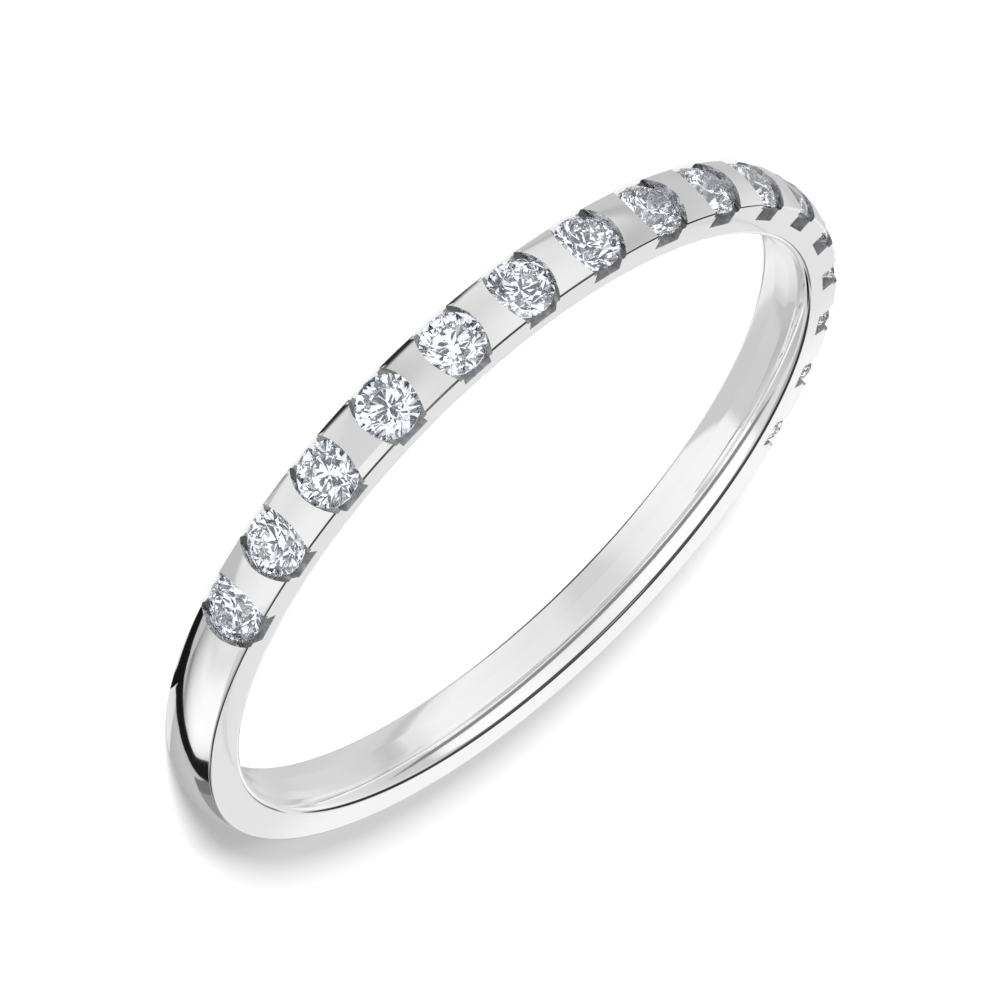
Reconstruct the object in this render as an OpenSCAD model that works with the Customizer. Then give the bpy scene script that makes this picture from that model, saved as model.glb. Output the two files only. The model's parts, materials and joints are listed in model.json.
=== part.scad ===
// Half eternity ring: a court band, bar set with a row of round brilliants over half its circle.
// Millimetres. The ring lies on one flank, as it rests by itself: its axis is Z, the lower flank
// is on z = 0, and the middle of the row of stones faces +Y.

/* [Band] */
// Width of the band, from flank to flank
band_w = 1.55; // [1.55:0.01:1.7]
// Inside diameter, across the crest of the comfort curve
bore_d = 17.3; // [16:0.1:19]
// Width of the straight crest inside the band
bore_land = 0.4; // [0.2:0.05:0.6]
// Rise of the comfort curve, from the inner edge of a flank to the crest inside the band
comfort_rise = 0.16; // [0.12:0.01:0.2]
// Height of a flat flank, from its inner edge to its outer edge
flank_h = 0.89; // [0.8:0.01:1]
// Rise of the dome outside the band, from the outer edge of a flank to the crest
dome_rise = 0.23; // [0.18:0.01:0.28]
// Radius of the rounded inner edges of the flanks
inner_round = 0.12; // [0.08:0.01:0.15]
// Depth of the bevel on the outer edges of the flanks
outer_bevel = 0.03; // [0.02:0.005:0.05]

/* [Stones] */
// Number of stones
stone_n = 16; // [12:1:16]
// Angle between neighbouring stones, in degrees
stone_pitch = 12.04; // [11.8:0.02:12.6]
// Diameter of a stone at its girdle
stone_d = 1.54; // [1.5:0.01:1.54]
// Depth of the middle of each girdle below the outer edges of the flanks
girdle_depth = 0.1; // [0.06:0.01:0.14]
// Table width, as a share of the stone's diameter
table_share = 0.56; // [0.53:0.01:0.6]
// Crown height, as a share of the stone's diameter
crown_share = 0.16; // [0.14:0.01:0.18]
// Pavilion depth, as a share of the stone's diameter
pavilion_share = 0.43; // [0.4:0.01:0.44]
// Girdle thickness, as a share of the stone's diameter
girdle_share = 0.03; // [0.02:0.01:0.04]

/* [Setting] */
// Gap between two bars at the middle of the band, where they hold the girdle
opening_w = 1.44; // [1.3:0.01:1.48]
// Gap between two bars at the flanks
opening_flank_w = 0.98; // [0.9:0.01:1]
// Width of the slot that runs through both flanks under each stone
slot_w = 0.78; // [0.7:0.01:0.84]
// Height of a slot, from its floor to the outer edge of a flank
slot_h = 0.47; // [0.4:0.01:0.5]
// Gap between a stone and the metal round it
stone_gap = 0.02; // [0.015:0.005:0.03]

/* [Hidden] */

$fn = 96;
mid_z = band_w / 2;
bore_r = bore_d / 2;
flank_in_r = bore_r + comfort_rise;
flank_out_r = flank_in_r + flank_h;
crest_r = flank_out_r + dome_rise;
girdle_seat_r = flank_out_r - girdle_depth;
slot_floor_r = flank_out_r - slot_h;

// The dome is an arc through both outer edges and its crest
dome_arc_r = (mid_z * mid_z + dome_rise * dome_rise) / (2 * dome_rise);
dome_centre = [crest_r - dome_arc_r, mid_z];

// The comfort curve is an arc through both inner edges and both ends of its straight crest
comfort_centre = [
    (flank_in_r + bore_r + (band_w * band_w - bore_land * bore_land) / (4 * comfort_rise)) / 2,
    mid_z
];
comfort_arc_r = norm(comfort_centre - [flank_in_r, 0]);

// Parts of a stone
stone_r = stone_d / 2;
girdle_t = stone_d * girdle_share;
table_r = stone_r * table_share;
crown_h = stone_d * crown_share;
pavilion_h = stone_d * pavilion_share;
facet_n = 8;
facet_angle = 360 / facet_n;
// Reach of the star facets, as a share of the way from the table to the girdle
star_share = 0.5;
star_r = table_r + (stone_r - table_r) * star_share;
// Radius at which the lower halves end, as a share of the stone's
lower_share = 0.22;
lower_r = stone_r * lower_share;

// Walls of the bars, each an arc that runs from flank to flank
opening_half = opening_w / 2;
bow = (opening_w - opening_flank_w) / 2;
bar_arc_r = (mid_z * mid_z + bow * bow) / (2 * bow);
// How far each cut runs on past the dome
over_metal = 0.6;

function stone_name(i) = str("stone_", i < 10 ? "0" : "", i);
function stone_angle(i) = 90 + (i - (stone_n + 1) / 2) * stone_pitch;
function unit(v) = v / norm(v);
function ring_points(r, z, n, start) = [
    for (k = [0:n - 1]) [r * cos(start + k * 360 / n), r * sin(start + k * 360 / n), z]
];
function wrap(k) = k % facet_n;

// Centre of the small circle that rounds the inner edge of the upper flank
inner_edge = [
    comfort_centre[0] - sqrt(pow(comfort_arc_r - inner_round, 2) - pow(mid_z - inner_round, 2)),
    band_w - inner_round
];

// What that round takes off: a wedge from the centre of the circle, less the circle
module inner_wedge() {
    reach = 4 * inner_round;
    to_flank = [0, reach];
    to_curve = reach * unit(inner_edge - comfort_centre);
    translate(inner_edge) difference() {
        polygon([[0, 0], to_flank, to_flank + to_curve, to_curve]);
        circle(r = inner_round);
    }
}

// What the bevel takes off the outer edge of the upper flank
module outer_wedge() {
    on_flank = [flank_out_r - outer_bevel, band_w];
    on_dome = dome_centre + [
        sqrt(pow(dome_arc_r, 2) - pow(mid_z - outer_bevel, 2)),
        mid_z - outer_bevel
    ];
    reach = 4 * outer_bevel;
    along = reach * unit(on_dome - on_flank);
    out = [-along[1], along[0]];
    polygon([on_flank - along, on_dome + along, on_dome + along + out, on_flank - along + out]);
}

// Section of the band at the right of the axis, with X as the radius and Y as the width
module band_section() {
    difference() {
        intersection() {
            translate([bore_r, 0]) square([crest_r - bore_r, band_w]);
            translate(dome_centre) circle(r = dome_arc_r);
            translate(comfort_centre) circle(r = comfort_arc_r);
        }
        for (flip = [0, 1]) translate([0, flip * band_w]) mirror([0, flip]) {
            inner_wedge();
            outer_wedge();
        }
    }
}

// Puts what it holds at a seat: the middle of the girdle at the origin, +Z out of the ring,
// X along the axis of the ring
module at_seat(i) {
    rotate([0, 0, stone_angle(i)]) translate([girdle_seat_r, 0, mid_z]) rotate([0, 90, 0]) children();
}

// Space between two bars, from the girdle outwards
module bar_gap() {
    low = -girdle_t / 2 - stone_gap;
    high = crest_r - girdle_seat_r + over_metal;
    intersection_for (side = [-1, 1])
        translate([0, side * (bar_arc_r - opening_half), low]) cylinder(r = bar_arc_r, h = high - low);
}

// Slot through both flanks
module flank_slot() {
    low = slot_floor_r - girdle_seat_r;
    high = crest_r - girdle_seat_r + over_metal;
    translate([-band_w, -slot_w / 2, low]) cube([2 * band_w, slot_w, high - low]);
}

// Turned seat: a groove for the girdle and a cone for the pavilion
module turned_seat() {
    groove_r = stone_r + stone_gap;
    groove_low = -girdle_t / 2 - stone_gap;
    groove_high = girdle_t / 2 + stone_r - opening_half + 2 * stone_gap;
    rotate_extrude() polygon([
        [0, -girdle_t / 2 - pavilion_h - 2 * stone_gap],
        [groove_r, groove_low],
        [groove_r, groove_high],
        [0, groove_high]
    ]);
}

module band() {
    color("gainsboro") difference() {
        rotate_extrude() band_section();
        for (i = [1:stone_n]) at_seat(i) {
            bar_gap();
            flank_slot();
            turned_seat();
        }
    }
}

// Round brilliant: table, 8 stars, 8 bezels, 16 upper halves, girdle, 16 lower halves, 8 pavilions
module brilliant() {
    table_z = girdle_t / 2 + crown_h;
    culet_z = -girdle_t / 2 - pavilion_h;
    half_cos = cos(facet_angle / 2);
    // Heights that keep the bezels and the pavilion facets flat
    star_z = table_z - crown_h * (star_r * half_cos - table_r) / (stone_r - table_r);
    lower_z = culet_z + pavilion_h * lower_r * half_cos / stone_r;
    points = concat(
        ring_points(table_r, table_z, facet_n, 0),
        ring_points(star_r, star_z, facet_n, facet_angle / 2),
        ring_points(stone_r, girdle_t / 2, 2 * facet_n, 0),
        ring_points(stone_r, -girdle_t / 2, 2 * facet_n, 0),
        ring_points(lower_r, lower_z, facet_n, facet_angle / 2),
        [[0, 0, culet_z]]
    );
    star = facet_n;
    top = 2 * facet_n;
    low = 4 * facet_n;
    half = 6 * facet_n;
    culet = 7 * facet_n;
    faces = concat(
        [[for (k = [facet_n - 1:-1:0]) k]],
        [for (k = [0:facet_n - 1]) [k, wrap(k + 1), star + k]],
        [for (k = [0:facet_n - 1]) [k, star + k, top + 2 * k, star + wrap(k + facet_n - 1)]],
        [for (k = [0:facet_n - 1]) [star + k, top + 2 * k + 1, top + 2 * k]],
        [for (k = [0:facet_n - 1]) [star + k, top + 2 * wrap(k + 1), top + 2 * k + 1]],
        [for (k = [0:2 * facet_n - 1]) let (next = (k + 1) % (2 * facet_n))
            [top + k, top + next, low + next, low + k]],
        [for (k = [0:facet_n - 1]) [half + k, low + 2 * k, low + 2 * k + 1]],
        [for (k = [0:facet_n - 1]) [half + k, low + 2 * k + 1, low + 2 * wrap(k + 1)]],
        [for (k = [0:facet_n - 1]) [culet, half + wrap(k + facet_n - 1), low + 2 * k, half + k]]
    );
    polyhedron(points, faces);
}

module stone(i) {
    color("aliceblue") at_seat(i) brilliant();
}

band();
for (i = [1:stone_n]) stone(i);
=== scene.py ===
"""Dresses a bar-set half eternity ring: the polished band, the round brilliants and the stage."""
import json
import math

import bmesh
import bpy
from bpy.props import FloatProperty, FloatVectorProperty, PointerProperty
from mathutils import Matrix, Vector


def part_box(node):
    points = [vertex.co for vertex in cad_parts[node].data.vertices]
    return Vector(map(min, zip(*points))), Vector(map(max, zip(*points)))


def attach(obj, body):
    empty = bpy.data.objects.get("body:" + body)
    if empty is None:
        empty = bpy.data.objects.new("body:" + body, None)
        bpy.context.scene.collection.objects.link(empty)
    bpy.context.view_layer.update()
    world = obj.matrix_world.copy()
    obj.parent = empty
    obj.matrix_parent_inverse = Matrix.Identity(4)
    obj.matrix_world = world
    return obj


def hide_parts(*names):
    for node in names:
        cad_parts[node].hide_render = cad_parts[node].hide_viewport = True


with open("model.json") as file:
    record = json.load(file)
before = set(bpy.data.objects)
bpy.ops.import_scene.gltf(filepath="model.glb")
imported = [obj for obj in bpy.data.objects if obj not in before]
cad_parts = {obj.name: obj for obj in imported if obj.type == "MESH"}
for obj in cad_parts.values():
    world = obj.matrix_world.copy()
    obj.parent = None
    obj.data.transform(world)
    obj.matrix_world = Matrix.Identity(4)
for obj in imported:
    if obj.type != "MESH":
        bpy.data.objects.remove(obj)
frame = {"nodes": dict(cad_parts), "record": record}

bl_info = {
    "name": "Half Eternity Ring",
    "version": (1, 0, 0),
    "blender": (4, 5, 0),
    "location": "View3D > Sidebar > Ring",
    "description": "Bar-set half eternity ring with round brilliants",
    "category": "Add Mesh",
}

# The band is modelled in millimetres and brought to metres at the end
MM = 0.001
# Steps of the long arcs of its section, of the short ones at its outer edges, of the spin across an opening
# and of a bowed wall, and sides of a turned seat
ARC_STEPS, EDGE_STEPS, CELL_STEPS, WALL_STEPS, SEAT_SIDES = 8, 4, 12, 32, 96
# Points nearer to each other than this are one, and the smallest difference that counts
MERGE, CLOSE = 1e-3, 1e-4
# How far each cutter runs on past the dome
RUN_ON = 0.6
# How far each kind of face falls short of the full polish, from 0 to 1; the metal also darkens the walls, the
# seats and the slots by it, as painted shade
DULLNESS_AND_SHADE = {"skin": 0.0, "wall": 0.22, "slot": 1.0, "seat": 0.6}
# Sizes of the patterns in the metal, in cycles to the metre
FINE, BROAD = 9000.0, 500.0
# How often light may turn inside the stones before it is lost
BOUNCES = 40
# How far the floor lies under the ring, in metres
FLOOR_DROP = 2e-6

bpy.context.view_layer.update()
BAND_LOW, BAND_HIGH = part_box("band")
BORE = next(m for m in frame["record"]["mounts"] if m["name"] == "finger_bore")
STONES = sorted(name for name in frame["nodes"] if name.startswith("stone_"))
FIRST_STONE = sum(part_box(STONES[0]), Vector()) / 2
LAST_STONE = sum(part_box(STONES[-1]), Vector()) / 2


def azimuth(point):
    """Angle of a point about the axis of the ring, from 0 to a full turn."""
    return math.atan2(point.y, point.x) % math.tau


STONE_PITCH = (azimuth(LAST_STONE) - (azimuth(FIRST_STONE) - math.tau)) / (len(STONES) - 1)


def length_of(name, description, default):
    """A size in millimetres that a user may change."""
    return FloatProperty(name=name, description=description, default=default, min=0.0, precision=3)


def angle_of(name, description, degrees):
    """An angle that a user may change."""
    return FloatProperty(name=name, description=description, default=math.radians(degrees), subtype="ANGLE")


def level_of(name, description, default):
    """A level of light that a user may change."""
    return FloatProperty(name=name, description=description, default=default, min=0.0)


def colour_of(name, description, default):
    """A colour that a user may change."""
    return FloatVectorProperty(name=name, description=description, subtype="COLOR", size=3, default=default)


class BandSizes(bpy.types.PropertyGroup):
    """Sizes of the plain band, in millimetres."""

    width: length_of("Width", "From flank to flank", (BAND_HIGH.z - BAND_LOW.z) / MM)
    bore_r: length_of("Bore radius", "To the crest of the comfort curve", BORE["dims"]["r_mm"])
    crest_r: length_of("Crest radius", "To the crest of the dome", -BAND_LOW.y / MM)
    land: length_of("Straight crest", "Width of the straight crest inside", BORE["dims"]["length_mm"])
    comfort_rise: length_of("Comfort rise", "From the inner edge of a flank to the crest inside", 0.16)
    flank_h: length_of("Flank height", "From the inner to the outer edge of a flank", 0.89)
    inner_round: length_of("Inner round", "Radius of the inner edges of the flanks", 0.15)
    outer_round: length_of("Outer round", "Radius of the outer edges of the flanks", 0.08)


class SettingSizes(bpy.types.PropertyGroup):
    """Sizes of the openings that hold the stones, in millimetres."""

    stone_d: length_of("Stone", "Diameter of a stone at its girdle", 1.54)
    girdle_depth: length_of("Girdle depth", "Below the outer edges of the flanks", 0.1)
    girdle_t: length_of("Girdle", "Thickness of a stone's girdle", 0.0462)
    pavilion_h: length_of("Pavilion", "Depth of a stone under its girdle", 0.6622)
    stone_gap: length_of("Gap", "Between a stone and the metal", 0.02)
    opening_w: length_of("Opening", "Between two bars, at the middle", 1.44)
    opening_flank_w: length_of("Opening at the flanks", "Between two bars, at the flanks", 0.98)
    slot_w: length_of("Slot", "Width of the slot through the flanks", 0.78)
    slot_h: length_of("Slot height", "From the floor to the outer edge of a flank", 0.47)


class MetalLook(bpy.types.PropertyGroup):
    """Finish of the polished band."""

    colour: colour_of("Colour", "White metal, polished", (0.98, 0.98, 0.982))
    roughness: FloatProperty(name="Roughness", description="Of the polish", default=0.035, min=0.0, max=1.0)


class StoneLook(bpy.types.PropertyGroup):
    """Finish of the stones."""

    tint: colour_of("Tint", "Colour that light takes on in a stone", (0.97, 0.985, 1.0))
    ior: FloatProperty(name="Refraction", description="Index of refraction", default=2.417, min=1.0)


class StageLook(bpy.types.PropertyGroup):
    """Camera, floor and light."""

    view_elevation: angle_of("Elevation", "Of the line of sight, below the horizon", 20.6243)
    view_heading: angle_of("Heading", "Of the line of sight, about the ring's axis", -37.5601)
    view_roll: angle_of("Roll", "Of the camera about its line of sight", 134.5226)
    view_distance: length_of("Distance", "From the camera to the point that it aims at", 230.164)
    view_aim: FloatVectorProperty(
        name="Aim", description="Point that the camera aims at, in millimetres",
        default=(-0.3692, 0.2618, 0.775),
    )
    lens: length_of("Lens", "Focal length on a 36 mm sensor", 360.0)
    floor_colour: colour_of("Floor", "Colour of the floor", (0.9, 0.9, 0.9))
    floor_size: length_of("Floor size", "Side of the floor", 1200.0)
    sky: level_of("Sky", "Strength of the light from all round", 1.0)
    floor_sky: level_of("Floor sky", "Light from all round on the floor", 0.56)
    key: level_of("Key", "Level of the low lamp behind the camera", 0.76)
    key_heading: angle_of("Key heading", "Of the low lamp, about the ring's axis", 130.5)
    key_elevation: angle_of("Key elevation", "Of the low lamp, above the floor", 13.5)
    key_width: angle_of("Key width", "How large the low lamp looks from the ring", 13.0)
    over_hole: level_of("Lamp over the hole", "Level of the floor under it", 1.3)
    screen_radius: length_of("Screen radius", "Of the screen by the shank, about the ring's axis", 16.0)


class RingProps(bpy.types.PropertyGroup):
    """All that the panel shows."""

    band: PointerProperty(type=BandSizes, name="Band", description="Sizes of the band")
    setting: PointerProperty(type=SettingSizes, name="Setting", description="Sizes of the openings")
    metal: PointerProperty(type=MetalLook, name="Metal", description="Finish of the band")
    stone: PointerProperty(type=StoneLook, name="Stone", description="Finish of the stones")
    stage: PointerProperty(type=StageLook, name="Stage", description="Camera, floor and light")


def only(piece):
    """Selects one object and makes it active."""
    bpy.ops.object.select_all(action="DESELECT")
    piece.select_set(True)
    bpy.context.view_layer.objects.active = piece


def start_edit(piece):
    """Enters edit mode with all of a piece selected."""
    only(piece)
    bpy.ops.object.mode_set(mode="EDIT")
    bpy.ops.mesh.select_all(action="SELECT")


def end_edit(outwards=False):
    """Leaves edit mode, and first turns all faces outwards where that is asked."""
    if outwards:
        bpy.ops.mesh.select_all(action="SELECT")
        bpy.ops.mesh.normals_make_consistent(inside=False)
    bpy.ops.object.mode_set(mode="OBJECT")


def outline(points, name, fill="NOTHING"):
    """A closed outline through the given points, made from a circle with as many vertices."""
    bpy.ops.object.select_all(action="DESELECT")
    bpy.ops.mesh.primitive_circle_add(vertices=len(points), radius=1, fill_type=fill)
    piece = bpy.context.object
    piece.name = name
    for vertex, point in zip(piece.data.vertices, points):
        vertex.co = point
    return piece


def arc(centre, radius, start, end, steps):
    """Points along an arc in the plane of a section."""
    angles = (start + (end - start) * k / steps for k in range(steps + 1))
    return [(centre[0] + radius * math.cos(a), centre[1] + radius * math.sin(a)) for a in angles]


class Section:
    """Section of the band: radius and height above its middle, with the arcs that its normals come from."""

    def __init__(self, sizes):
        self.mid = sizes.width / 2
        self.bore_r = sizes.bore_r
        self.flank_in = sizes.bore_r + sizes.comfort_rise
        self.flank_out = self.flank_in + sizes.flank_h
        dome_rise = sizes.crest_r - self.flank_out
        self.dome_r = (self.mid**2 + dome_rise**2) / (2 * dome_rise)
        self.dome = (sizes.crest_r - self.dome_r, 0)
        bow = (sizes.width**2 - sizes.land**2) / (4 * sizes.comfort_rise)
        self.comfort = ((self.flank_in + sizes.bore_r + bow) / 2, 0)
        self.comfort_r = math.hypot(self.comfort[0] - self.flank_in, self.mid)
        self.outer_r, self.inner_r = sizes.outer_round, sizes.inner_round
        out_z, in_z = self.mid - self.outer_r, self.mid - self.inner_r
        self.outer = (self.dome[0] + math.sqrt((self.dome_r - self.outer_r) ** 2 - out_z**2), out_z)
        self.inner = (self.comfort[0] - math.sqrt((self.comfort_r - self.inner_r) ** 2 - in_z**2), in_z)
        self.land = sizes.land / 2

    def points(self):
        """Closed outline, from the crest of the dome over the upper flank and back under the lower one."""
        dome_end = math.atan2(self.outer[1], self.outer[0] - self.dome[0])
        comfort_start = math.atan2(self.inner[1], self.inner[0] - self.comfort[0])
        land_end = math.atan2(self.land, self.bore_r - self.comfort[0])
        upper = arc(self.dome, self.dome_r, 0, dome_end, ARC_STEPS)
        upper += arc(self.outer, self.outer_r, dome_end, math.pi / 2, EDGE_STEPS)[1:]
        upper += arc(self.inner, self.inner_r, math.pi / 2, comfort_start, ARC_STEPS)
        upper += arc(self.comfort, self.comfort_r, comfort_start, land_end, ARC_STEPS)[1:]
        lower = [(r, -z) for r, z in reversed(upper)][:-1]
        return [(r, self.mid + z) for r, z in upper + lower]

    def normal(self, r, z):
        """Outward normal of the polished surface at a point of the outline, as (radial, axial)."""
        side = 1 if z >= self.mid else -1
        h = abs(z - self.mid)
        if r > self.outer[0] and h > self.outer[1]:
            centre = self.outer
        elif h > self.mid - CLOSE:
            return 0.0, side
        elif r < self.inner[0] and h > self.inner[1]:
            centre = self.inner
        elif r > (self.flank_in + self.flank_out) / 2:
            centre = self.dome
        elif h > self.land:
            centre = self.comfort
        else:
            return -1.0, 0.0
        out = Vector((r - centre[0], h - centre[1])).normalized()
        return out.x, out.y * side


def sector(section, start, angle, steps, capped):
    """A stretch of the band, spun from its section; spin turns the other way round without a window."""
    points = [(r * math.cos(start), r * math.sin(start), z) for r, z in section.points()]
    piece = outline(points, "stretch")
    start_edit(piece)
    bpy.ops.mesh.spin(steps=steps, angle=-angle, center=(0, 0, 0), axis=(0, 0, 1))
    if capped:
        bpy.ops.mesh.select_all(action="DESELECT")
        bpy.ops.mesh.select_non_manifold()
        bpy.ops.mesh.fill_holes(sides=0)
    end_edit(outwards=True)
    piece.data.materials.append(marker("skin"))
    return piece


def marker(name):
    """A plain material that marks faces while the band is cut."""
    return bpy.data.materials.get("mark_" + name) or bpy.data.materials.new("mark_" + name)


class Opening:
    """Levels and outline of one opening, in a frame with X out of the ring through its middle."""

    def __init__(self, section, setting):
        self.half = setting.opening_w / 2
        bow = (setting.opening_w - setting.opening_flank_w) / 2
        self.wall_r = (section.mid**2 + bow**2) / (2 * bow)
        self.wall_y = self.wall_r - self.half
        self.mid = section.mid
        seat = section.flank_out - setting.girdle_depth
        self.low = seat - setting.girdle_t / 2 - setting.stone_gap
        self.high = section.dome[0] + section.dome_r + RUN_ON
        self.tip = seat - setting.girdle_t / 2 - setting.pavilion_h - 2 * setting.stone_gap
        self.groove_r = setting.stone_d / 2 + setting.stone_gap
        self.groove_top = (
            seat + setting.girdle_t / 2 + setting.stone_d / 2 - self.half + 2 * setting.stone_gap
        )
        self.floor = section.flank_out - setting.slot_h
        self.slot_half = setting.slot_w / 2

    def wall_normal(self, y, z):
        """Outward normal of a bowed wall, towards the opening, as (tangential, axial)."""
        side = 1 if y > 0 else -1
        return -(y + side * self.wall_y) / self.wall_r, -(z - self.mid) / self.wall_r

    def gap_cutter(self):
        """The space between two bars: an outline of two arcs, extruded outwards."""
        tip = math.asin(math.sqrt(self.wall_r**2 - self.wall_y**2) / self.wall_r)
        right = arc((-self.wall_y, 0), self.wall_r, -tip, tip, WALL_STEPS)
        left = [(-y, -z) for y, z in right]
        piece = outline([(self.low, y, self.mid + z) for y, z in right + left[1:-1]], "gap_cutter", "NGON")
        start_edit(piece)
        bpy.ops.mesh.extrude_region_move(TRANSFORM_OT_translate={"value": (self.high - self.low, 0, 0)})
        end_edit(outwards=True)
        piece.data.materials.append(marker("wall"))
        return piece

    def slot_cutter(self):
        """The slot through both flanks."""
        bpy.ops.object.select_all(action="DESELECT")
        size = (self.high - self.floor, 2 * self.slot_half, 6 * self.mid)
        middle = ((self.high + self.floor) / 2, 0, self.mid)
        bpy.ops.mesh.primitive_cube_add(size=1, location=middle, scale=size)
        bpy.ops.object.transform_apply(location=True, rotation=True, scale=True)
        piece = bpy.context.object
        piece.data.materials.append(marker("slot"))
        return piece

    def seat_cutter(self):
        """The turned seat: a cone for the pavilion under a groove for the girdle."""
        bpy.ops.object.select_all(action="DESELECT")
        bpy.ops.mesh.primitive_cone_add(
            vertices=SEAT_SIDES, radius1=0, radius2=self.groove_r, depth=self.low - self.tip,
            location=((self.low + self.tip) / 2, 0, self.mid), rotation=(0, math.pi / 2, 0),
        )
        bpy.ops.object.transform_apply(location=True, rotation=True, scale=True)
        piece = bpy.context.object
        start_edit(piece)
        select_faces(piece, lambda face: face.normal.x > 0.9)
        bpy.ops.mesh.extrude_region_move(TRANSFORM_OT_translate={"value": (self.groove_top - self.low, 0, 0)})
        end_edit(outwards=True)
        piece.data.materials.append(marker("seat"))
        return piece


def select_faces(piece, test):
    """In edit mode, selects just the faces that pass a test."""
    bpy.ops.mesh.select_all(action="DESELECT")
    mesh = bmesh.from_edit_mesh(piece.data)
    for face in filter(test, mesh.faces):
        face.select_set(True)
    bmesh.update_edit_mesh(piece.data)


def apply_modifier(piece, kind, **settings):
    """Adds a modifier with the given settings and applies it."""
    only(piece)
    modifier = piece.modifiers.new("step", kind)
    for name, value in settings.items():
        setattr(modifier, name, value)
    bpy.ops.object.modifier_apply(modifier=modifier.name)


def set_cell(section, opening, pitch):
    """One stretch of the band with its opening cut, open at both ends."""
    cell = sector(section, -pitch / 2, pitch, CELL_STEPS, True)
    cell.name = "cell"
    for cutter in (opening.gap_cutter(), opening.slot_cutter(), opening.seat_cutter()):
        apply_modifier(
            cell, "BOOLEAN", operation="DIFFERENCE", object=cutter, solver="EXACT", material_mode="TRANSFER"
        )
        bpy.data.objects.remove(cutter)
    start_edit(cell)
    select_faces(cell, lambda face: abs(face.normal.y) > 0.98 and is_end(face, pitch))
    bpy.ops.mesh.delete(type="FACE")
    end_edit()
    return cell


def is_end(face, pitch):
    """True for a cap that closes an end of a stretch."""
    return all(abs(abs(math.atan2(v.co.y, v.co.x)) - pitch / 2) < CLOSE for v in face.verts)


def polish(band, section, opening, angles):
    """Gives every corner the true normal of its surface, for smooth reflections, and marks how far each face
    falls short of the polish, which the metal also uses for painted shade.
    """
    mesh = band.data
    mark = [material.name.removeprefix("mark_") for material in mesh.materials]
    corners = []
    for face in mesh.polygons:
        kind = mark[face.material_index]
        for v in face.vertices:
            point = mesh.vertices[v].co
            if kind == "skin":
                corners.append(skin_normal(point, section))
            elif kind == "wall":
                corners.append(wall_normal(point, face.normal, opening, angles))
            else:
                corners.append(face.normal.copy())
    mesh.polygons.foreach_set("use_smooth", [True] * len(mesh.polygons))
    mesh.normals_split_custom_set(corners)
    dull = mesh.attributes.new("dull", "FLOAT", "FACE")
    dull.data.foreach_set("value", [DULLNESS_AND_SHADE[mark[face.material_index]] for face in mesh.polygons])


def skin_normal(point, section):
    """Normal of the dome, a flank, the comfort curve or a round between them."""
    angle = math.atan2(point.y, point.x)
    radial, axial = section.normal(math.hypot(point.x, point.y), point.z)
    return Vector((radial * math.cos(angle), radial * math.sin(angle), axial))


def wall_normal(point, flat, opening, angles):
    """Normal of a bowed wall, or the flat one on the ledge under it."""
    turn = min(angles, key=lambda a: abs(math.remainder(math.atan2(point.y, point.x) - a, math.tau)))
    local = Matrix.Rotation(-turn, 3, "Z") @ flat
    if abs(local.x) > 0.7:
        return flat.copy()
    place = Matrix.Rotation(-turn, 3, "Z") @ point
    across, axial = opening.wall_normal(place.y, place.z)
    return Matrix.Rotation(turn, 3, "Z") @ Vector((0, across, axial))


def make_band(props):
    """The polished band, with an opening for each stone."""
    section = Section(props.band)
    opening = Opening(section, props.setting)
    first = azimuth(FIRST_STONE) - math.tau
    angles = [first + k * STONE_PITCH for k in range(len(STONES))]
    cell = set_cell(section, opening, STONE_PITCH)
    shank_start = angles[-1] + STONE_PITCH / 2
    shank_angle = math.tau - len(STONES) * STONE_PITCH
    shank = sector(section, shank_start, shank_angle, round(math.degrees(shank_angle)), False)
    parts = [shank]
    for angle in angles:
        part = cell.copy()
        part.data = cell.data.copy()
        bpy.context.collection.objects.link(part)
        part.data.transform(Matrix.Rotation(angle, 4, "Z"))
        parts.append(part)
    bpy.data.objects.remove(cell)
    bpy.ops.object.select_all(action="DESELECT")
    for part in parts:
        part.select_set(True)
    band = parts[1]
    bpy.context.view_layer.objects.active = band
    bpy.ops.object.join()
    band.name = "polished_band"
    start_edit(band)
    bpy.ops.mesh.remove_doubles(threshold=MERGE)
    end_edit()
    polish(band, section, opening, angles)
    only(band)
    band.scale = (MM, MM, MM)
    bpy.ops.object.transform_apply(location=False, rotation=False, scale=True)
    return band


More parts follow.
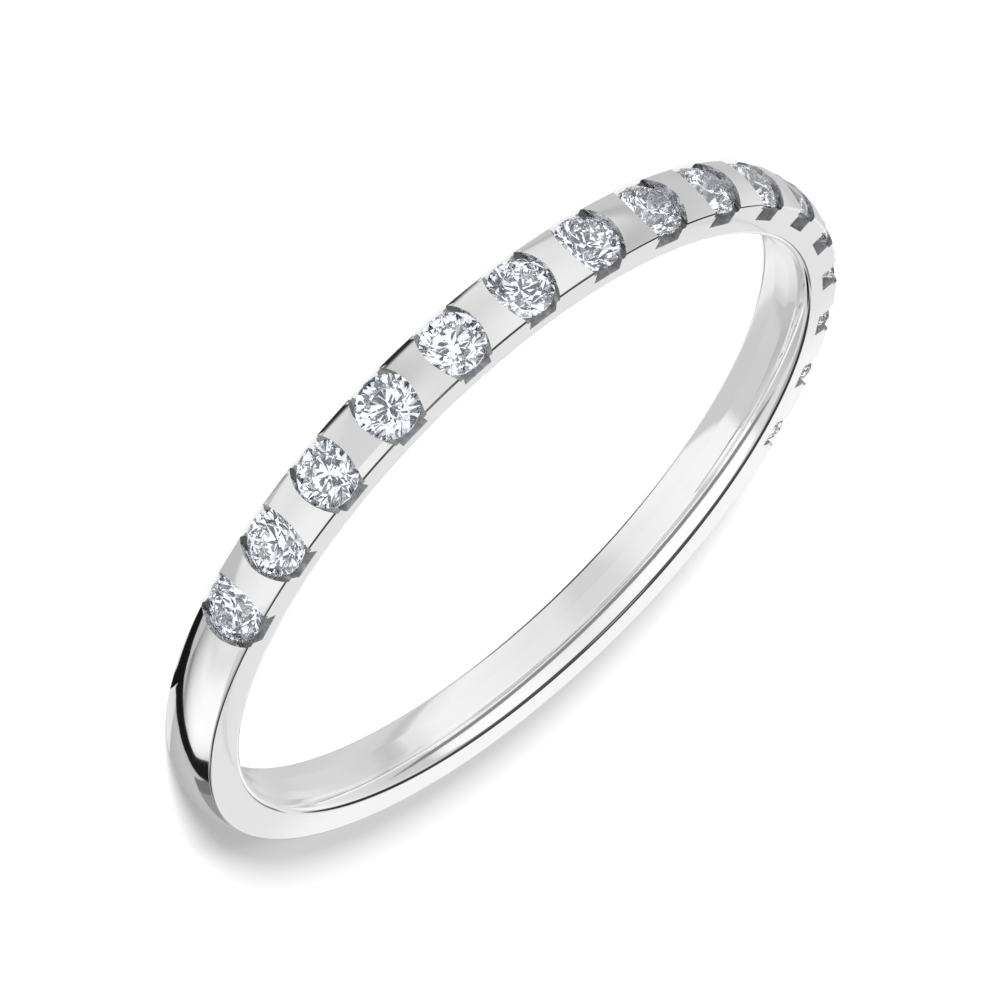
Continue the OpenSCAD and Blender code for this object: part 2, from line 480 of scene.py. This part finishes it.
class Socket:
    """A shader socket: operators add Math nodes, and node() adds any other node."""

    def __init__(self, tree, socket=None):
        self.tree, self.socket = tree, socket

    def node(self, kind, settings, *values, output=0, **named):
        """Adds a node: its settings first, then the values or links of its sockets, by place or by name."""
        new = self.tree.nodes.new(kind)
        for name, value in settings.items():
            if name == "stops":
                self.set_stops(new.color_ramp.elements, value)
            else:
                setattr(new, name, value)
        for key, value in [*enumerate(values), *((name.replace("_", " "), v) for name, v in named.items())]:
            if isinstance(value, Socket):
                self.tree.links.new(value.socket, new.inputs[key])
            else:
                new.inputs[key].default_value = value
        return Socket(self.tree, new.outputs[output] if len(new.outputs) else None)

    def math(self, operation, *values):
        """The result of a Math node."""
        return self.node("ShaderNodeMath", {"operation": operation}, *values)

    def __add__(self, other):
        return self.math("ADD", self, other)

    def __mul__(self, other):
        return self.math("MULTIPLY", self, other)

    def __sub__(self, other):
        return self.math("SUBTRACT", self, other)

    def __rsub__(self, other):
        return self.math("SUBTRACT", other, self)

    __radd__ = __add__
    __rmul__ = __mul__

    def parts(self):
        """The three components of a vector."""
        return [self.node("ShaderNodeSeparateXYZ", {}, self, output=axis) for axis in "XYZ"]

    def noise(self, scale, detail, **more):
        """Noise at this place."""
        return self.node("ShaderNodeTexNoise", {}, Vector=self, Scale=scale, Detail=detail, **more)

    def between(self, low, high):
        """The first colour at 0, the second at 1, and a mix on the way."""
        settings = {"data_type": "RGBA"}
        return self.node("ShaderNodeMix", settings, Factor=self, A=(*low, 1), B=(*high, 1), output="Result")

    def ease(self, low, high):
        """0 below the low value, 1 above the high one, and smooth between them."""
        settings = {"interpolation_type": "SMOOTHSTEP"}
        return self.node("ShaderNodeMapRange", settings, self, From_Min=low, From_Max=high)

    def ramp(self, stops):
        """Grey levels at given places from 0 to 1."""
        return self.node("ShaderNodeValToRGB", {"stops": stops}, self)

    @staticmethod
    def set_stops(elements, stops):
        """Sets the places and grey levels of a ramp, from low to high."""
        elements[0].position, elements[1].position = stops[0][0], stops[-1][0]
        for place, _ in stops[1:-1]:
            elements.new(place)
        for element, (_, grey) in zip(elements, stops):
            element.color = (grey, grey, grey, 1)


def new_material(name):
    """An empty material, with the start of its node tree."""
    material = bpy.data.materials.new(name)
    material.use_nodes = True
    material.node_tree.nodes.clear()
    return material, Socket(material.node_tree)


def metal_material(look, flank_in, flank_out):
    """White metal: brightest inside the band, with painted shade that darkens the flanks and more the dome,
    and rough with a mottling in the openings, darker there as painted shade.
    """
    material, tree = new_material("white_metal")
    place = tree.node("ShaderNodeTexCoord", {}, output="Object")
    x, y, z = place.parts()
    radius = tree.math("SQRT", x * x + y * y)
    dull = tree.node("ShaderNodeAttribute", {"attribute_name": "dull"}, output="Fac")
    # Polishing marks follow the band: short across it and long round it
    along = tree.node(
        "ShaderNodeCombineXYZ", {}, radius * FINE + x * BROAD, z * FINE + y * BROAD, (x - y) * BROAD
    )
    marks = along.noise(1.0, 3.0)
    cloud = place.noise(BROAD, 3.0)
    grit = place.noise(FINE, 4.0, Roughness=0.7)
    # Painted shade: the flanks are a little darker than the inside of the band, and the dome a little darker
    # still
    outer_shade = radius.ease((flank_in + 0.02) * MM, (flank_in + 0.1) * MM) * 0.07
    dome_shade = radius.ease((flank_out - 0.03) * MM, (flank_out + 0.02) * MM) * 0.06
    # Tone of the polished faces: the painted shade above, with a little random cloud and the polishing marks
    polished = 1.0 - (outer_shade + dome_shade) - cloud * 0.03 - marks * 0.02
    # The faces in the openings take a mottling and are darker: the dark is painted shade in the recesses
    mottled_shade = 0.58 + grit.ease(0.3, 0.7) * 0.34
    # Painted shade: the bowed walls of the openings, picked out by their dullness, darken towards the girdle,
    # deep in the opening
    wall = dull.ease(0.05, 0.2) * dull.ease(0.5, 0.3)
    deep_shade = radius.ease((flank_out + 0.2) * MM, (flank_out - 0.02) * MM)
    tone = (polished + (mottled_shade - polished) * dull) * (1 - wall * (0.2 + deep_shade * 0.42))
    base = tone.between((0, 0, 0), look.colour)
    rough = look.roughness + cloud * 0.03 + marks * 0.03 + dull * (0.25 + grit * 0.2)
    height = marks * (1 - dull) + grit * dull * 4
    bump = tree.node("ShaderNodeBump", {}, Strength=0.1, Distance=0.000002, Height=height)
    metal = tree.node(
        "ShaderNodeBsdfPrincipled", {}, Base_Color=base, Metallic=1.0, Roughness=rough, Normal=bump
    )
    tree.node("ShaderNodeOutputMaterial", {}, metal)
    return material


def stone_material(look):
    """Clear stone with a very high refraction, all but even in its clarity and its polish."""
    material, tree = new_material("clear_stone")
    place = tree.node("ShaderNodeTexCoord", {}, output="Object")
    veil = place.noise(2500.0, 2.0)
    tint = veil.between(look.tint, (1, 1, 1))
    clear = tree.node(
        "ShaderNodeBsdfPrincipled", {}, Base_Color=tint, Roughness=veil * 0.004, IOR=look.ior,
        Transmission_Weight=1.0, Specular_IOR_Level=0.3,
    )
    tree.node("ShaderNodeOutputMaterial", {}, clear)
    return material


def floor_material(look):
    """Matt pale floor."""
    material, tree = new_material("pale_floor")
    matt = tree.node("ShaderNodeBsdfDiffuse", {}, Color=(*look.floor_colour, 1))
    tree.node("ShaderNodeOutputMaterial", {}, matt)
    return material


def line_of_sight(look):
    """Direction in which the camera looks."""
    reach, heading = math.cos(look.view_elevation), look.view_heading
    return Vector((reach * math.cos(heading), reach * math.sin(heading), -math.sin(look.view_elevation)))


def camera_place(look):
    """Place of the camera, in millimetres."""
    return Vector(look.view_aim) - line_of_sight(look) * look.view_distance


def add_camera(look):
    """Camera at the photograph's angle to the ring, above the floor."""
    forward, roll = line_of_sight(look), look.view_roll
    across = forward.cross(Vector((0, 0, 1))).normalized()
    up = across.cross(forward) * math.cos(roll) - across * math.sin(roll)
    right = forward.cross(up)
    camera = bpy.data.objects.new("camera", bpy.data.cameras.new("camera"))
    camera.data.lens = look.lens
    camera.data.sensor_width = 36.0
    camera.data.clip_start, camera.data.clip_end = 0.01, 10.0
    turn = Matrix((right, up, -forward)).transposed()
    camera.matrix_world = Matrix.Translation(camera_place(look) * MM) @ turn.to_4x4()
    bpy.context.collection.objects.link(camera)
    bpy.context.scene.camera = camera


def add_floor(look):
    """A wide pale floor just under the ring, which keeps out of the polish and the stones."""
    bpy.ops.object.select_all(action="DESELECT")
    bpy.ops.mesh.primitive_plane_add(size=look.floor_size * MM, location=(0, 0, -FLOOR_DROP))
    floor = bpy.context.object
    floor.name = "floor"
    floor.data.materials.append(floor_material(look))
    floor.visible_glossy = False
    floor.visible_transmission = False


# Light round the ring: (degrees about its axis, level), just below the horizon and above it
LOW_TENT = (
    (-180, 0.92), (-165, 0.95), (-147, 0.93), (-142, 0.62), (-100, 0.62), (-86, 0.66),
    (-78, 0.85), (-58, 0.92), (-46, 0.8), (-41, 0.4), (-30, 0.55), (-20, 0.65),
    (0, 0.64), (30, 0.69), (46, 0.66), (53, 0.55), (58, 0.62), (62, 0.84),
    (80, 0.93), (100, 0.88), (114, 0.83), (126, 0.82), (138, 0.68), (150, 0.68),
    (162, 0.84), (180, 0.92),
)
HIGH_TENT = (
    (-180, 1.05), (-149, 1.05), (-142, 0.76), (-115, 0.76), (-102, 0.82), (-90, 0.72),
    (-78, 0.62), (-66, 0.72), (-54, 0.7), (-46, 1.0), (-30, 1.05), (-12, 0.8),
    (-3, 0.75), (6, 0.97), (18, 0.95), (30, 0.8), (42, 0.72), (54, 0.64),
    (66, 0.6), (74, 1.0), (102, 1.03), (114, 0.95), (132, 0.88), (150, 0.98),
    (162, 1.05), (180, 1.05),
)
# Patches of the tent with a level of their own: name, direction and half-sizes in degrees, softness and level
PATCHES = (
    ("ceiling", -42, 56, 70, 31, 0.12, 0.04),
    ("top", 0, 90, 400, 36, 0.2, 0.08),
    ("crown", 0, 90, 400, 6.5, 0.2, 0.6),
    ("left gap", -106, 36, 22, 14, 0.3, 0.45),
    ("right end", -71, 18, 10, 8, 0.3, 0.0),
    ("under", 0, -90, 400, 20, 0.2, 0.03),
)
# The screen by the shank: foot and top in millimetres, and (degrees about the axis, level) above the floor
SCREEN_FOOT, SCREEN_TOP = -6, 4
SCREEN = (
    (-162, 0.95), (-154, 0.9), (-146, 1.15), (-132, 1.2), (-126, 1.05), (-121, 0.6), (-106, 0.62), (-76, 0.5),
    (-60, 0.55),
)
# Strips of cloth that edge the light: (name, level, pairs of points from bottom to top), in millimetres
FLAGS = (
    # By the shank, for the dark streak on its dome; each is edge-on to the inside of the band
    ("edge_flag", 0.01, (
        ((-11.1, -11.05, -6.2), (-8.2, -9.15, -4.3)), ((-10.75, -10.81, -5.35), (-8.57, -9.39, -3.84)),
        ((-10.47, -11.5, -3.11), (-8.69, -10.35, -2.19)), ((-9.85, -12.15, -1.24), (-8.21, -11.08, -0.7)),
        ((-8.83, -12.64, 0.5), (-7.4, -11.71, 0.7)), ((-8.76, -12.76, 2.11), (-7.04, -11.65, 2.05)),
        ((-8.47, -12.33, 3.08), (-7.46, -11.68, 2.47)),
    )),
    ("low_flag", 0.01, (
        ((-11.4, -4.45, -7.5), (-9.3, -4.23, -4.6)), ((-11.12, -4.42, -5.37), (-9.17, -4.21, -2.99)),
        ((-11.11, -4.42, -4.38), (-9.05, -4.20, -2.22)), ((-10.71, -4.37, -3.26), (-8.92, -4.19, -1.37)),
        ((-10.35, -4.34, -2.34), (-8.6, -4.15, -0.8)), ((-10.2, -4.32, -1.7), (-8.5, -4.14, -0.6)),
        ((-9.8, -4.28, -0.85), (-8.5, -4.14, -0.45)),
    )),
    ("corner_flag", 0.2, (
        ((-6.81, -14.96, -0.56), (-5.4, -13.6, -0.1)), ((-6.89, -14.62, 1.38), (-5.6, -13.4, 1.3)),
        ((-6.86, -14.3, 3.0), (-5.7, -13.2, 2.8)),
    )),
    ("soft_flag", 0.34, (
        ((-5.4, -13.6, -0.1), (-3.4, -11.5, 0.55)), ((-5.6, -13.4, 1.3), (-4.0, -11.7, 1.2)),
        ((-5.7, -13.2, 2.8), (-4.4, -11.8, 2.6)),
    )),
    # Before the bars that face the camera, and far behind the ring for the near half of the flank
    ("front_flag", 0.8, (((-12.5, 10.3, -4), (-14.9, 6.3, -4)), ((-12.5, 10.3, 4.2), (-14.9, 6.3, 4.2)))),
    ("back_flag", 0.85, (((39.6, -46.9, 22.6), (55.4, -26.3, 21.6)), ((39.6, -46.9, 34), (55.4, -26.3, 34)))),
)
# The dark hoop over the band, for the fine dark line along the comfort curve inside it: radius and height of
# its foot and length of its lean in millimetres, first and last angle in degrees, and level
HOOP = (8.7, 2.2, 3.4, 30, 252, 0.24)
# The lamp over the hole of the ring: its place and the width of its disc, in millimetres
HOLE_LAMP, HOLE_LAMP_WIDTH = (2, 5, 12), 8


def whole_turn(degrees):
    """Place of an angle on a ramp that runs once round the ring."""
    return degrees / 360 + 0.5


def world_tree():
    """An empty world, with the start of its node tree."""
    world = bpy.data.worlds.new("studio")
    world.use_nodes = True
    world.node_tree.nodes.clear()
    bpy.context.scene.world = world
    return Socket(world.node_tree)


def tent_light(tree, turn, rise):
    """Levels that the metal shows: a white tent with dark gaps."""
    low, high = (turn.ramp([(whole_turn(a), level) for a, level in tent]) for tent in (LOW_TENT, HIGH_TENT))
    # The low levels give way to the high ones between these heights
    light = low + (high - low) * rise.ease(math.radians(-32), math.radians(18))
    for _, at, up, wide, tall, soft, level in PATCHES:
        across = tree.math("WRAP", turn - whole_turn(at), 0.5, -0.5) * (360 / wide)
        along = (rise - math.radians(up)) * (180 / math.pi / tall)
        reach = tree.math("SQRT", across * across + along * along)
        light = light + (level - light) * reach.ease(1 + soft, 1 - soft)
    return light


def stone_light(way):
    """Light that leaves the stones: bright, and broken up so that their facets flash."""
    return way.noise(2.4, 0.5).ease(0.48, 0.52).between((0.0, 0.01, 0.04), (1.3, 1.35, 1.45))


def add_sky(look):
    """Light from all round: a tent for the metal, flashes for the stones, and even white for all else."""
    tree = world_tree()
    way = tree.node("ShaderNodeTexCoord", {}, output="Generated")
    x, y, z = way.parts()
    turn = tree.math("ARCTAN2", y, x) * (1 / math.tau) + 0.5
    rise = tree.math("ARCSINE", z)
    lit = tree.node(
        "ShaderNodeBackground", {}, Color=(1, 1, 1, 1), Strength=tent_light(tree, turn, rise) * look.sky
    )
    clear = tree.node("ShaderNodeBackground", {}, Color=stone_light(way), Strength=look.sky)
    soft = tree.node("ShaderNodeBackground", {}, Color=(1, 1, 1, 1), Strength=look.floor_sky)
    plain = tree.node("ShaderNodeBackground", {}, Color=(1, 1, 1, 1), Strength=1.0)
    mixed = lit
    for kind, light in (("Transmission", clear), ("Diffuse", soft), ("Camera", plain)):
        ray = tree.node("ShaderNodeLightPath", {}, output=f"Is {kind} Ray")
        mixed = tree.node("ShaderNodeMixShader", {}, ray, mixed, light)
    tree.node("ShaderNodeOutputWorld", {}, mixed)


def add_screen(look):
    """A curved screen by the shank, white at one end and grey at the other, seen in the polish alone."""
    first, reach = math.radians(SCREEN[0][0]), math.radians(SCREEN[-1][0] - SCREEN[0][0])
    bpy.ops.object.select_all(action="DESELECT")
    bpy.ops.mesh.primitive_cylinder_add(
        vertices=180, radius=look.screen_radius * MM, depth=(SCREEN_TOP - SCREEN_FOOT) * MM,
        location=(0, 0, (SCREEN_FOOT + SCREEN_TOP) / 2 * MM), end_fill_type="NOTHING",
    )
    bpy.ops.object.transform_apply(location=True, rotation=True, scale=True)
    screen = bpy.context.object
    screen.name = "screen"
    start_edit(screen)
    select_faces(screen, lambda face: (azimuth(face.normal) - first) % math.tau > reach)
    bpy.ops.mesh.delete(type="FACE")
    end_edit()
    material, tree = new_material("screen")
    place = tree.node("ShaderNodeTexCoord", {}, output="Object")
    x, y, z = place.parts()
    # Below the ring the levels lean: they move on round the ring with the depth
    lean = tree.math("ARCTAN2", y, x) - tree.math("MINIMUM", z, 0.0) * (math.radians(3.6) / MM)
    light = (lean * (1 / math.tau) + 0.5).ramp([(whole_turn(a), level) for a, level in SCREEN])
    # The white end darkens towards its foot
    shade = (1 - z.ease(-7 * MM, 1 * MM)) * lean.ease(math.radians(-114), math.radians(-122)) * 0.68
    glow = tree.node(
        "ShaderNodeEmission", {}, Color=(1, 1, 1, 1), Strength=light * (1 - shade) * look.sky
    )
    tree.node("ShaderNodeOutputMaterial", {}, glow)
    screen.data.materials.append(material)
    show_in_polish(screen)


def show_in_polish(piece):
    """Makes a piece of the stage show in reflections alone."""
    for kind in ("camera", "diffuse", "transmission", "shadow"):
        setattr(piece, "visible_" + kind, False)


def flag_material(name, level):
    """One even level of light."""
    material, tree = new_material(name)
    glow = tree.node("ShaderNodeEmission", {}, Color=(1, 1, 1, 1), Strength=level)
    tree.node("ShaderNodeOutputMaterial", {}, glow)
    return material


def add_flag(name, level, pairs):
    """A strip of cloth between two edges."""
    bpy.ops.object.select_all(action="DESELECT")
    bpy.ops.mesh.primitive_grid_add(x_subdivisions=1, y_subdivisions=len(pairs) - 1)
    flag = bpy.context.object
    flag.name = name
    places = [Vector(point) for pair in pairs for point in pair]
    for vertex, place in zip(flag.data.vertices, places):
        vertex.co = place * MM
    flag.data.materials.append(flag_material(name, level))
    show_in_polish(flag)


def add_hoop(look):
    """A dark hoop that leans along the rays off the flank, which therefore see only its edge."""
    radius, height, lean, first, last, level = HOOP
    # The camera as the upper flank mirrors it
    eye = camera_place(look)
    eye.z = 2 * BAND_HIGH.z / MM - eye.z
    pairs = []
    for degrees in range(first, last + 1, 3):
        around = math.radians(degrees)
        foot = Vector((radius * math.cos(around), radius * math.sin(around), height))
        pairs.append((foot, foot + (foot - eye).normalized() * lean))
    add_flag("hoop", level, pairs)


def add_lamps(look):
    """Lamps that light the floor alone: a low one behind the camera and one over the hole of the ring."""
    key = bpy.data.lights.new("key", "SUN")
    key.angle = look.key_width
    key.energy = look.key * math.pi / math.sin(look.key_elevation)
    place_lamp(key, (0, 0, 0), (math.pi / 2 - look.key_elevation, 0, look.key_heading + math.pi / 2))
    over = bpy.data.lights.new("over_hole", "AREA")
    over.shape = "DISK"
    over.size = HOLE_LAMP_WIDTH * MM
    place = Vector(HOLE_LAMP) * MM
    over.energy = look.over_hole * (math.pi * place.z) ** 2
    place_lamp(over, place, (0, 0, 0))


def place_lamp(light, location, rotation):
    """Puts up a lamp that keeps out of the polish and the stones."""
    lamp = bpy.data.objects.new(light.name, light)
    lamp.location = location
    lamp.rotation_euler = rotation
    lamp.visible_glossy = False
    lamp.visible_transmission = False
    bpy.context.collection.objects.link(lamp)


class RING_OT_band(bpy.types.Operator):
    """Models the polished band and hides the plain solid that it stands for"""

    bl_idname = "ring.band"
    bl_label = "Band"

    def execute(self, context):
        props = context.scene.ring
        band = make_band(props)
        band.data.materials.clear()
        flank_in = props.band.bore_r + props.band.comfort_rise
        band.data.materials.append(metal_material(props.metal, flank_in, flank_in + props.band.flank_h))
        band.data.polygons.foreach_set("material_index", [0] * len(band.data.polygons))
        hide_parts("band")
        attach(band, "root")
        return {"FINISHED"}


class RING_OT_stones(bpy.types.Operator):
    """Gives the cut stones their clear, bright finish"""

    bl_idname = "ring.stones"
    bl_label = "Stones"

    def execute(self, context):
        clear = stone_material(context.scene.ring.stone)
        for name in STONES:
            stone = frame["nodes"][name]
            stone.material_slots[0].material = clear
        return {"FINISHED"}


class RING_OT_stage(bpy.types.Operator):
    """Sets up the floor, the light and the camera"""

    bl_idname = "ring.stage"
    bl_label = "Stage"

    def execute(self, context):
        look = context.scene.ring.stage
        add_floor(look)
        add_sky(look)
        add_screen(look)
        for flag in FLAGS:
            add_flag(*flag)
        add_hoop(look)
        add_lamps(look)
        add_camera(look)
        context.scene.view_settings.view_transform = "Standard"
        for kind in ("max", "glossy", "transmission"):
            setattr(context.scene.cycles, kind + "_bounces", BOUNCES)
        return {"FINISHED"}


class RING_PT_panel(bpy.types.Panel):
    """Lists the pieces and their sizes"""

    bl_idname = "RING_PT_panel"
    bl_label = "Half Eternity Ring"
    bl_space_type = "VIEW_3D"
    bl_region_type = "UI"
    bl_category = "Ring"

    def draw(self, context):
        for operator in OPERATORS:
            self.layout.operator(operator.bl_idname)
        for group in ("band", "setting", "metal", "stone", "stage"):
            box = self.layout.box()
            settings = getattr(context.scene.ring, group)
            for name in settings.__annotations__:
                box.prop(settings, name)


OPERATORS = (RING_OT_stage, RING_OT_band, RING_OT_stones)
CLASSES = (BandSizes, SettingSizes, MetalLook, StoneLook, StageLook, RingProps, *OPERATORS, RING_PT_panel)


def register():
    """Makes the properties, the operators and the panel known to Blender."""
    for cls in CLASSES:
        bpy.utils.register_class(cls)
    bpy.types.Scene.ring = PointerProperty(type=RingProps)


def unregister():
    """Takes back all that register() made known."""
    del bpy.types.Scene.ring
    for cls in reversed(CLASSES):
        bpy.utils.unregister_class(cls)


def main():
    register()
    bpy.ops.ring.stage()
    bpy.ops.ring.band()
    bpy.ops.ring.stones()


if __name__ == "__main__":
    main()
